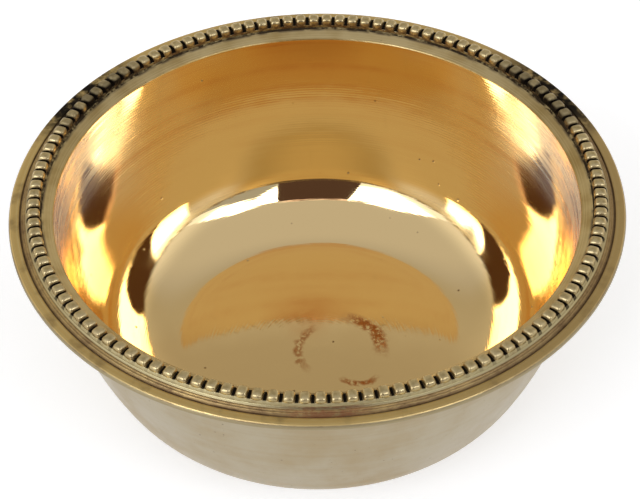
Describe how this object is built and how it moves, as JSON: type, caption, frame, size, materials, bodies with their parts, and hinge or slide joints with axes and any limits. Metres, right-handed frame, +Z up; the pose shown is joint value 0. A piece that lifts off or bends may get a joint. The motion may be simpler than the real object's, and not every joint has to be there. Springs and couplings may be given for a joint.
{
  "type": "offering bowl",
  "caption": "Round brass offering bowl with a bulging wall, a smooth sloping lip and a beaded border, on a low foot ring.",
  "frame": {"origin": "centre of the foot ring's underside, on the axis of the bowl", "axes": "+Z up along the axis of the bowl, towards its mouth; X and Y level, with a bead on +X"},
  "size_m": [0.11, 0.11, 0.0458],
  "materials": {
    "bowl_brass": "polished inside with fine turning marks, satin on the lip and outside",
    "border_brass": "turned and worn bright on its high places, with dark patina in its grooves",
    "dark_solder": "dark, uneven solder"
  },
  "bodies": {
    "root": {"bowl_shell": "bowl_brass", "rim_moulding": "border_brass", "beaded_wire": "border_brass", "rim_seam": "dark_solder", "flange_seam": "dark_solder", "foot_ring": "bowl_brass", "foot_seam": "dark_solder"}
  },
  "joints": []
}
